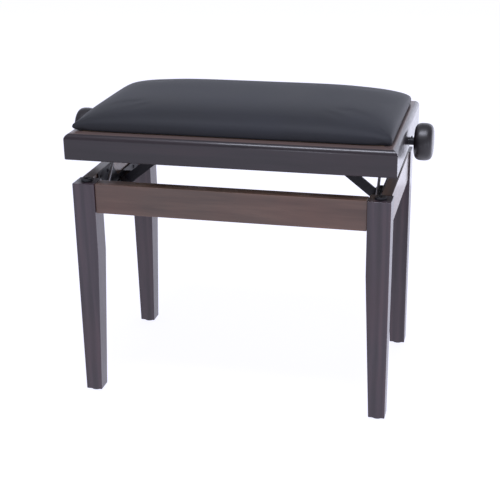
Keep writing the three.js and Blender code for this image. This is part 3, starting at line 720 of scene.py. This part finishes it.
class BenchCushionSettings(bpy.types.PropertyGroup):
    crown: FloatProperty(
        name="Crown", description="Height of the cushion over the seat frame before it is puffed",
        min=0.01, max=0.08, default=0.0418, unit="LENGTH")
    rim: FloatProperty(
        name="Rim", description="Height of the cushion's upright edge",
        min=0.001, max=0.03, default=0.009, unit="LENGTH")
    tuck_in: FloatProperty(
        name="Tuck", description="How far the cover is drawn in where it meets the seat",
        min=0, max=0.01, default=0.0012, unit="LENGTH")
    spread_x: FloatProperty(
        name="Spread along", description="How far the cover reaches past the cushion's ends",
        min=-0.01, max=0.01, default=0.002, unit="LENGTH")
    spread_y: FloatProperty(
        name="Spread across", description="How far the cover reaches past the cushion's long sides",
        min=-0.01, max=0.01, default=0.003, unit="LENGTH")
    voxel: FloatProperty(
        name="Voxel", description="Remesh size before the cloth simulation",
        min=0.002, max=0.01, default=0.004, unit="LENGTH")
    pressure: FloatProperty(
        name="Pressure", description="Cloth pressure that fills the cushion", min=0, max=20, default=4.0)
    swell_limit: FloatProperty(
        name="Swell limit", description="Furthest that a point may move as the cushion fills",
        min=0, max=0.03, default=0.0006, unit="LENGTH")
    vinyl_colour: FloatVectorProperty(
        name="Vinyl colour", description="Base colour of the cover",
        default=(0.012, 0.013, 0.018), **COLOUR)


class BenchSteelSettings(bpy.types.PropertyGroup):
    black: FloatVectorProperty(
        name="Powder coat", description="Colour of the black steel parts",
        default=(0.011, 0.011, 0.015), **COLOUR)
    zinc: FloatVectorProperty(
        name="Zinc", description="Colour of the plated steel parts", default=(0.52, 0.52, 0.54), **COLOUR)
    wire: FloatVectorProperty(
        name="Spring wire", description="Colour of the spring wire", default=(0.42, 0.42, 0.44), **COLOUR)
    thread_pitch: FloatProperty(
        name="Thread pitch", description="Pitch of the spindle's thread",
        min=0.001, max=0.01, default=0.0025, unit="LENGTH")
    spring_pitch: FloatProperty(
        name="Lift spring pitch", description="Distance between the lift spring's turns",
        min=0.002, max=0.01, default=0.0054, unit="LENGTH")


class BenchStageSettings(bpy.types.PropertyGroup):
    lens: FloatProperty(
        name="Lens", description="Focal length for a 36 mm sensor", min=10, max=300, default=81.23,
        unit="CAMERA")
    camera_place: FloatVectorProperty(
        name="Camera place", description="Camera position", subtype="TRANSLATION", size=3,
        default=(0.45083, -1.84476, 0.95887), unit="LENGTH")
    azimuth: FloatProperty(
        name="Azimuth", description="Turn of the camera from the bench's front",
        default=math.radians(13.818), unit="ROTATION", subtype="ANGLE")
    elevation: FloatProperty(
        name="Elevation", description="How far the camera looks down",
        default=math.radians(21.085), unit="ROTATION", subtype="ANGLE")
    roll: FloatProperty(
        name="Roll", description="Turn of the camera about its own line of sight",
        default=math.radians(-0.869), unit="ROTATION", subtype="ANGLE")
    floor_colour: FloatVectorProperty(
        name="Floor colour", description="Colour of the studio floor",
        default=(0.12, 0.12, 0.125), **COLOUR)
    floor_glow: FloatProperty(
        name="Floor glow", description="Light given off by the floor, so that it stays evenly pale",
        min=0, default=0.95)
    key_power: FloatProperty(
        name="Key power", description="Power of the softbox behind the right end", min=0, default=1.7,
        unit="POWER")
    back_power: FloatProperty(
        name="Back power", description="Power of the raised softbox behind the right end", min=0, default=1.5,
        unit="POWER")
    rear_power: FloatProperty(
        name="Rear power", description="Power of the wide softbox behind the bench", min=0, default=15.0,
        unit="POWER")
    front_power: FloatProperty(
        name="Front power", description="Power of each tall softbox in front", min=0, default=3.0,
        unit="POWER")
    top_power: FloatProperty(
        name="Top power", description="Power of the overhead softbox", min=0, default=38.0, unit="POWER")
    room_light: FloatProperty(
        name="Room light", description="Strength of the white surroundings", min=0, default=0.48)


class BenchOperator:
    bl_options = {"REGISTER", "UNDO"}


class BENCH_OT_woodwork(BenchOperator, bpy.types.Operator):
    """Finish the legs, aprons, seat rails, panel and corner blocks"""
    bl_idname = "bench.woodwork"
    bl_label = "Woodwork"

    def execute(self, context):
        ease = context.scene.bench_wood.edge_ease
        for name, _, _ in CORNERS:
            dress("leg_" + name, "leg_z", ease)
            dress("corner_block_" + name, "block", ease)
        for name in ("front", "rear"):
            dress("apron_" + name, "apron_x", ease)
            dress("seat_rail_" + name, "rail_x", ease / 3, 2)
        for name in ("left", "right"):
            dress("apron_" + name, "apron_y", ease)
            dress("seat_rail_" + name, "rail_y", ease / 3, 2)
        dress("seat_panel", "plywood", ease / 2, 2)
        return {"FINISHED"}


class BENCH_OT_cushion(BenchOperator, bpy.types.Operator):
    """Build the crowned vinyl cushion and fill it by cloth simulation"""
    bl_idname = "bench.cushion"
    bl_label = "Cushion"

    def execute(self, context):
        values = context.scene.bench_cushion
        low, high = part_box("seat_cushion")
        vertices, faces = cushion_shape(
            values.crown, values.rim, values.tuck_in, values.spread_x, values.spread_y)
        piece = new_piece("cushion_cover", vertices, faces, finish_named("vinyl"))
        remesh(piece, values.voxel)
        puff(piece, values.pressure, values.swell_limit, low.z)
        settle_corners(piece, low, high)
        modify(piece, "finer", "SUBSURF", levels=1, render_levels=1)
        apply_modifiers(piece)
        piece.data.polygons.foreach_set("use_smooth", [True] * len(piece.data.polygons))
        if not piece.data.materials:
            piece.data.materials.append(finish_named("vinyl"))
        fit_piece(piece, "seat", "black_vinyl", "seat_cushion")
        return {"FINISHED"}


class BENCH_OT_knobs(BenchOperator, bpy.types.Operator):
    """Turn the two knobs, and finish their collars and set screws"""
    bl_idname = "bench.knobs"
    bl_label = "Knobs"

    def execute(self, context):
        for name, side in SIDES:
            low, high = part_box("knob_" + name)
            radius = (high.z - low.z) / 2
            depth = high.x - low.x
            start = (low if side > 0 else high).x
            axis = Vector((start, 0, (low.z + high.z) / 2))
            profile = []
            for i in range(41):
                across = math.sin(math.pi * (i / 40 - 0.5))
                bulge = (1 - abs(across) ** 2.8) ** (1 / 5.6)
                profile.append((depth * (1 + across) / 2, (radius + 0.0004) * bulge))
            knob = turned_piece("knob_turned_" + name, profile, axis, (side, 0, 0), finish_named("knob"), 128)
            fit_piece(knob, "spindle_group", "knob_lacquer", "knob_" + name)
            dress("knob_collar_" + name, "black", 0.0004, 2)
            dress("collar_screw_" + name, "black", 0.0002, 2)
        return {"FINISHED"}


def threaded_rod(name, low, high, centre, pitch, hands):
    """A rod along X whose surface rises and falls as a screw thread between the given stretches."""
    radius = (high.z - low.z) / 2
    sides, step, depth = 32, pitch / 6, 0.0007
    vertices = []
    count = round((high.x - low.x) / step)
    for i in range(count + 1):
        x = low.x + (high.x - low.x) * i / count
        end = min(i, count - i) * step
        chamfer = max(0.0, 0.001 - end)
        for k in range(sides):
            angle = 2 * math.pi * k / sides
            cutback = 0.0
            for start, stop, hand in hands:
                if start < x < stop:
                    phase = (x / pitch + hand * k / sides) % 1.0
                    lead_in = min(1.0, (x - start) / (2 * pitch), (stop - x) / (2 * pitch))
                    groove = max(0.0, min(1.0, 4 * abs(phase - 0.5) - 0.5))
                    cutback = depth * groove * lead_in
            size = radius - cutback - chamfer
            vertices.append(Vector((x, centre.y + size * math.cos(angle), centre.z + size * math.sin(angle))))
    return new_piece(name, vertices, tube_faces(count + 1, sides), finish_named("thread"))


class BENCH_OT_spindle(BenchOperator, bpy.types.Operator):
    """Cut the left-hand and right-hand threads of the spindle"""
    bl_idname = "bench.spindle"
    bl_label = "Spindle"

    def execute(self, context):
        low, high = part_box("spindle")
        pitch = context.scene.bench_steel.thread_pitch
        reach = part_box("spindle_bush_right")[0].x - 0.012
        bare = 0.03
        hands = ((-reach, -bare, 1), (bare, reach, -1))
        rod = threaded_rod("spindle_threaded", low, high, centre_of("spindle"), pitch, hands)
        fit_piece(rod, "spindle_group", "zinc_steel", "spindle")
        for name, _ in SIDES:
            dress("spindle_bush_" + name, "nylon", 0.0004, 2)
        return {"FINISHED"}


class BENCH_OT_linkage(BenchOperator, bpy.types.Operator):
    """Finish the struts, nuts, pins, end plates, seat plates and guide channel"""
    bl_idname = "bench.linkage"
    bl_label = "Linkage"

    def execute(self, context):
        dress("guide_channel", "black", 0.0004, 2)
        for name, _ in SIDES:
            dress("strut_" + name, "black", 0.0006, 3)
            dress("end_plate_" + name, "black", 0.0004, 2)
            dress("seat_plate_" + name, "black", 0.0004, 2)
            dress("spindle_nut_" + name, "zinc", 0.0008, 3)
            dress("nut_pin_" + name, "zinc", 0.0004, 3)
            dress("strut_pin_" + name, "zinc", 0.0006, 3)
        return {"FINISHED"}


def coil_points(start, direction, radius, pitch, turns, first_angle=0.0, steps=24):
    """Points of a helix of the given radius that runs along direction from start."""
    along, across, other = axes_along(direction)
    points = []
    for i in range(round(turns * steps) + 1):
        angle = first_angle + 2 * math.pi * i / steps
        rise = pitch * i / steps
        points.append(Vector(start) + along * rise
                      + (across * math.cos(angle) + other * math.sin(angle)) * radius)
    return points


class BENCH_OT_springs(BenchOperator, bpy.types.Operator):
    """Wind the lift springs round the lower pins and the hold-down springs between their hooks"""
    bl_idname = "bench.springs"
    bl_label = "Springs"

    def lift_spring(self, context, name, side):
        low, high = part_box("lift_spring_" + name)
        pin_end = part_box("strut_pin_" + name)[0].y + 0.007
        strut_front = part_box("strut_" + name)[0].y
        axis = (low + high) / 2
        pitch = context.scene.bench_steel.spring_pitch
        wire = 0.0014
        radius = (high.z - low.z) / 2 - wire
        rear = high.y - low.y - 2 * wire
        front = strut_front - 0.0012 - pin_end - 2 * wire
        parts = []
        for begin, length in ((low.y + wire, rear), (pin_end + wire, front)):
            turns = max(1, round(length / pitch))
            start = Vector((axis.x, begin, axis.z))
            coil = coil_points(start, (0, 1, 0), radius, length / turns, turns, math.pi / 2 * side)
            tail = [coil[-1] + Vector((side * 0.004 * i, 0, -0.0002 * i)) for i in range(1, 3)]
            parts.append(wire_mesh(coil + tail, wire, 10))
        vertices, faces = merged(parts)
        spring = new_piece("lift_spring_coil_" + name, vertices, faces, finish_named("black"))
        fit_piece(spring, "base", "spring_steel", "lift_spring_" + name)

    def hold_spring(self, name, side, across):
        low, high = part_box("hold_spring_" + name)
        centre = (low + high) / 2
        eye_gap = 0.003
        coil_gap = 0.011
        span = Vector((0, high.y - low.y, high.z - low.z))
        span.y *= -across
        length = math.hypot(span.y, span.z)
        along = span / length
        bottom = centre - along * (length / 2 + eye_gap)
        top = centre + along * (length / 2 + eye_gap)
        wire, radius = 0.0007, 0.0019
        body_start = bottom + along * coil_gap
        body_length = (top - bottom).length - 2 * coil_gap
        turns = round(body_length / (wire * 2.15))
        coil = coil_points(body_start, along, radius, body_length / turns, turns, 0.0, 14)
        lower = self.hook(bottom, along, coil[0], wire)
        upper = self.hook(top, -along, coil[-1], wire)
        path = list(reversed(lower)) + coil + upper
        vertices, faces = wire_mesh(path, wire, 7)
        spring = new_piece("hold_spring_coil_" + name, vertices, faces, finish_named("spring"))
        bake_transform(spring)
        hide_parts("hold_spring_" + name)

    def hook(self, eye, along, joint, wire):
        """A hook's points, from the coil's end round the eye."""
        sideways = along.cross(Vector((1, 0, 0))).normalized()
        radius = 0.0026
        ring = eye + along * radius
        neck = ring + along * 0.004
        points = [joint.lerp(neck, 0.5), neck]
        for i in range(11):
            angle = math.radians(60 + 270 * i / 10)
            points.append(ring + along * (radius * math.cos(angle)) + sideways * (radius * math.sin(angle)))
        return points

    def execute(self, context):
        for name, side in SIDES:
            self.lift_spring(context, name, side)
        for name, side, across in CORNERS:
            self.hold_spring(name, side, across)
        return {"FINISHED"}


def screw_head(origin, direction, radius, height, spin):
    """Vertices and faces of a domed screw head with a cross recess, standing on its origin."""
    along, across, other = axes_along(direction)
    rings, sides = 12, 48
    slot_half_width, slot_reach = 0.13, 0.55
    vertices = [Vector(origin) + along * (height * 0.45)]
    faces = []
    for r in range(1, rings + 1):
        share = r / rings
        for k in range(sides):
            turn = 2 * math.pi * k / sides
            a, b = share * math.cos(turn), share * math.sin(turn)
            dome = height * math.sqrt(max(0.0, 1 - (share * 0.96) ** 2.6))
            arm = min(abs(a), abs(b))
            reach = max(abs(a), abs(b))
            if arm < slot_half_width and reach < slot_reach:
                dome -= height * 0.55 * (1 - reach / slot_reach) ** 0.3
            lift = dome if r < rings else 0.0
            place = (across * math.cos(turn + spin) + other * math.sin(turn + spin)) * share
            vertices.append(Vector(origin) + place * radius + along * lift)
    for k in range(sides):
        j = (k + 1) % sides
        faces.append((0, 1 + k, 1 + j))
        for r in range(rings - 1):
            a = 1 + r * sides
            faces.append((a + k, a + sides + k, a + sides + j, a + j))
    faces.append(tuple(1 + (rings - 1) * sides + k for k in range(sides - 1, -1, -1)))
    return vertices, faces


def hex_bolt(tip, direction, shank_radius, shank_length, head_radius, head_height):
    """Vertices and faces of a bolt: shank, washer and chamfered hexagon head."""
    along, across, other = axes_along(direction)
    tip = Vector(tip)

    def loft(layers, sides):
        vertices = []
        for height, radius in layers:
            vertices += circle(tip + along * height, across, other, radius, sides)
        return vertices, tube_faces(len(layers), sides)

    washer = 0.0012
    end = shank_length
    shank = loft([(0, shank_radius * 0.8), (0.001, shank_radius), (end, shank_radius)], 32)
    ring_part = loft([(end, head_radius * 1.1), (end + washer, head_radius * 1.1)], 48)
    head = loft([(end + washer, head_radius * 0.95), (end + washer + 0.0004, head_radius),
                 (end + head_height - 0.0006, head_radius), (end + head_height, head_radius * 0.88)], 6)
    return merged([shank, ring_part, head])


class BENCH_OT_fasteners(BenchOperator, bpy.types.Operator):
    """Add the leg bolts and the screws that hold the steel plates, blocks and panel"""
    bl_idname = "bench.fasteners"
    bl_label = "Fasteners"

    def leg_bolt(self, name, side, across):
        low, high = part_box("leg_bolt_" + name)
        centre = (low + high) / 2
        inward = Vector((-side, -across, 0)).normalized()
        head_radius = (high.z - low.z) / 2
        length = (high.x - low.x) * math.sqrt(2) - head_radius
        tip = centre - inward * (length / 2 + 0.0004)
        vertices, faces = hex_bolt(tip, inward, 0.004, length - 0.005, head_radius * 0.92, 0.005)
        bolt = new_piece("leg_bolt_hex_" + name, vertices, faces, finish_named("zinc"), smooth=False)
        fit_piece(bolt, "base", "zinc_steel", "leg_bolt_" + name)

    def screw_set(self, name, spots, direction, body, radius, finish="black"):
        parts = [screw_head(spot, direction, radius, radius * 0.55, 0.7 * i) for i, spot in enumerate(spots)]
        vertices, faces = merged(parts)
        piece = new_piece(name, vertices, faces, finish_named(finish))
        fit_piece(piece, body, "zinc_steel" if finish == "zinc" else "black_steel")

    def execute(self, context):
        for name, side, across in CORNERS:
            self.leg_bolt(name, side, across)
            self.block_screws(name, side, across)
        for name, side in SIDES:
            self.plate_screws(name, side)
        self.under_screws()
        return {"FINISHED"}

    def block_screws(self, name, side, across):
        low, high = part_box("corner_block_" + name)
        centre = (low + high) / 2
        inner_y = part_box("apron_rear")[0].y
        face_a = Vector((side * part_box("apron_right")[0].x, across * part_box("end_plate_right")[1].y, 0))
        face_b = Vector((side * min(abs(low.x), abs(high.x)), across * inner_y, 0))
        middle = (face_a + face_b) / 2
        inward = Vector((-side, -across, 0)).normalized()
        lift = (high.z - low.z) * 0.28
        spots = [Vector((middle.x, middle.y, centre.z + dz)) + inward * 0.0005 for dz in (-lift, lift)]
        self.screw_set("block_screws_" + name, spots, inward, "base", 0.0035, "zinc")

    def plate_screws(self, name, side):
        sheet = 0.0023
        low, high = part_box("end_plate_" + name)
        face = high.x - sheet if side > 0 else low.x + sheet
        strip_z = low.z + 0.009
        spots = [Vector((face, y, z)) for y, z in (
            (low.y + 0.01, high.z - 0.008), (low.y + 0.045, high.z - 0.008), (low.y + 0.045, strip_z),
            (high.y - 0.03, strip_z), (high.y - 0.065, strip_z))]
        self.screw_set("end_plate_screws_" + name, spots, (-side, 0, 0), "base", 0.0034)
        low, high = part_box("seat_plate_" + name)
        face = high.x - sheet if side > 0 else low.x + sheet
        spots = [Vector((face, y, z)) for y in (low.y + 0.008, high.y - 0.008)
                 for z in (high.z - 0.008, high.z - 0.022)]
        self.screw_set("seat_plate_screws_" + name, spots, (-side, 0, 0), "seat", 0.0034)

    def under_screws(self):
        low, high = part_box("seat_panel")
        spots = [Vector((x, y, low.z)) for x in (-0.21, -0.07, 0.07, 0.21)
                 for y in (low.y + 0.014, high.y - 0.014)]
        spots += [Vector((x, 0.0, low.z)) for x in (low.x + 0.02, high.x - 0.02)]
        self.screw_set("panel_screws", spots, (0, 0, -1), "seat", 0.0042, "zinc")


class BENCH_OT_feet(BenchOperator, bpy.types.Operator):
    """Mould the rubber bumpers on the leg tops and the glides under the feet"""
    bl_idname = "bench.feet"
    bl_label = "Feet and bumpers"

    def disc(self, node):
        """The bottom centre, radius and height of an upright disc."""
        low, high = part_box(node)
        foot = Vector(((low.x + high.x) / 2, (low.y + high.y) / 2, low.z))
        return foot, (high.x - low.x) / 2, high.z - low.z

    def execute(self, context):
        for name, _, _ in CORNERS:
            foot, radius, height = self.disc("top_bumper_" + name)
            lip = 0.0011
            profile = [(0, 0), (0, radius - 0.0003), (0.0003, radius)]
            profile += arc((height - lip, radius - lip), lip, 90, 8, 8)
            profile += [(height, radius * 0.62), (height - 0.0002, radius * 0.34),
                        (height - 0.0016, radius * 0.28), (height - 0.0018, 0)]
            bumper = turned_piece(
                "bumper_moulded_" + name, profile, foot, (0, 0, 1), finish_named("rubber"), 64)
            fit_piece(bumper, "base", "black_rubber", "top_bumper_" + name)
            foot, radius, height = self.disc("foot_glide_" + name)
            ease = 0.0012
            profile = [(0, 0), (0, radius * 0.8)] + arc((ease, radius - ease), ease, 180, 90, 6)
            profile += [(height, radius), (height, 0)]
            glide = turned_piece(
                "glide_moulded_" + name, profile, foot, (0, 0, 1), finish_named("nylon"), 64)
            fit_piece(glide, "base", "black_nylon", "foot_glide_" + name)
        return {"FINISHED"}


class BENCH_OT_stage(BenchOperator, bpy.types.Operator):
    """Set up the floor, the soft lights and the camera"""
    bl_idname = "bench.stage"
    bl_label = "Stage"

    def softbox(self, name, place, target, width, height, power):
        light = with_settings(
            bpy.data.lights.new(name + "_softbox", "AREA"), shape="RECTANGLE", size=width,
            size_y=height, energy=power, color=(0.84, 0.86, 1.0),
        )
        lamp = bpy.data.objects.new(name + "_softbox", light)
        lamp.location = place
        lamp.visible_camera = False
        lamp.rotation_euler = (Vector(target) - Vector(place)).to_track_quat("-Z", "Y").to_euler()
        bpy.context.scene.collection.objects.link(lamp)

    def floor(self, colour, glow):
        half = 60.0
        corners = [(-half, -half, 0), (half, -half, 0), (half, half, 0), (-half, half, 0)]
        material, _, shader = blank_material("studio_floor", colour, 0.9)
        shader.inputs["Emission Color"].default_value = (0.97, 0.97, 1.14, 1)
        shader.inputs["Emission Strength"].default_value = glow
        floor = new_piece("studio_floor", corners, [(0, 1, 2, 3)], material)

    def camera(self, values):
        data = with_settings(
            bpy.data.cameras.new("studio_camera"), lens=values.lens, sensor_width=36.0,
            clip_start=0.05, clip_end=200.0,
        )
        az, el, roll = values.azimuth, values.elevation, values.roll
        forward = Vector((-math.sin(az) * math.cos(el), math.cos(az) * math.cos(el), -math.sin(el)))
        level = Vector((math.cos(az), math.sin(az), 0))
        upward = level.cross(forward)
        right = level * math.cos(roll) + upward * math.sin(roll)
        up = upward * math.cos(roll) - level * math.sin(roll)
        turn = Matrix((right, up, -forward)).transposed()
        camera = bpy.data.objects.new("studio_camera", data)
        camera.matrix_world = Matrix.Translation(values.camera_place) @ turn.to_4x4()
        bpy.context.scene.collection.objects.link(camera)
        bpy.context.scene.camera = camera

    def world(self, strength):
        world = bpy.data.worlds.new("studio_room")
        world.use_nodes = True
        background = world.node_tree.nodes["Background"]
        background.inputs["Color"].default_value = (0.84, 0.87, 1.0, 1)
        background.inputs["Strength"].default_value = strength
        bpy.context.scene.world = world

    def execute(self, context):
        values = context.scene.bench_stage
        self.floor(values.floor_colour, values.floor_glow)
        self.camera(values)
        self.world(values.room_light)
        seat, knob = (0.25, 0, 0.44), (0.2, 0, 0.44)
        middle = (0, 0, 0.4)
        front = values.front_power
        for softbox in (
            ("low_right", (0.62, 1.05, 0.31), seat, 1.0, 0.6, values.key_power),
            ("high_right", (0.8, 1.4, 0.8), seat, 0.9, 0.8, values.back_power),
            ("rear", (-0.3, 3.5, 1.6), middle, 4.5, 1.8, values.rear_power),
            ("overhead", (0.1, -0.78, 2.4), middle, 1.3, 0.5, values.top_power),
            ("front_left", (-0.3, -2.6, 0.55), knob, 0.25, 0.8, front),
            ("front_right", (1.0, -2.4, 0.55), knob, 0.25, 0.8, front),
            ("right", (2.0, -1.2, 0.5), knob, 0.3, 0.8, front),
        ):
            self.softbox(*softbox)
        settings = context.scene.view_settings
        settings.view_transform = "Standard"
        settings.look = "None"
        return {"FINISHED"}


STEPS = (
    BENCH_OT_stage, BENCH_OT_woodwork, BENCH_OT_cushion, BENCH_OT_knobs, BENCH_OT_spindle,
    BENCH_OT_linkage, BENCH_OT_springs, BENCH_OT_fasteners, BENCH_OT_feet,
)
SETTINGS = (
    ("bench_wood", BenchWoodSettings), ("bench_cushion", BenchCushionSettings),
    ("bench_steel", BenchSteelSettings), ("bench_stage", BenchStageSettings),
)


class BENCH_PT_sidebar(bpy.types.Panel):
    bl_idname = "BENCH_PT_sidebar"
    bl_label = "Piano bench"
    bl_space_type = "VIEW_3D"
    bl_region_type = "UI"
    bl_category = "Bench"

    def draw(self, context):
        for step in STEPS:
            self.layout.operator(step.bl_idname)
        for name, kind in SETTINGS:
            box = self.layout.box()
            values = getattr(context.scene, name)
            for field in kind.__annotations__:
                box.prop(values, field)


def register():
    for name, kind in SETTINGS:
        bpy.utils.register_class(kind)
        setattr(bpy.types.Scene, name, PointerProperty(type=kind))
    for step in STEPS:
        bpy.utils.register_class(step)
    bpy.utils.register_class(BENCH_PT_sidebar)


def unregister():
    bpy.utils.unregister_class(BENCH_PT_sidebar)
    for step in reversed(STEPS):
        bpy.utils.unregister_class(step)
    for name, kind in reversed(SETTINGS):
        delattr(bpy.types.Scene, name)
        bpy.utils.unregister_class(kind)


def main():
    register()
    for step in STEPS:
        group, command = step.bl_idname.split(".")
        getattr(getattr(bpy.ops, group), command)()


if __name__ == "__main__":
    main()
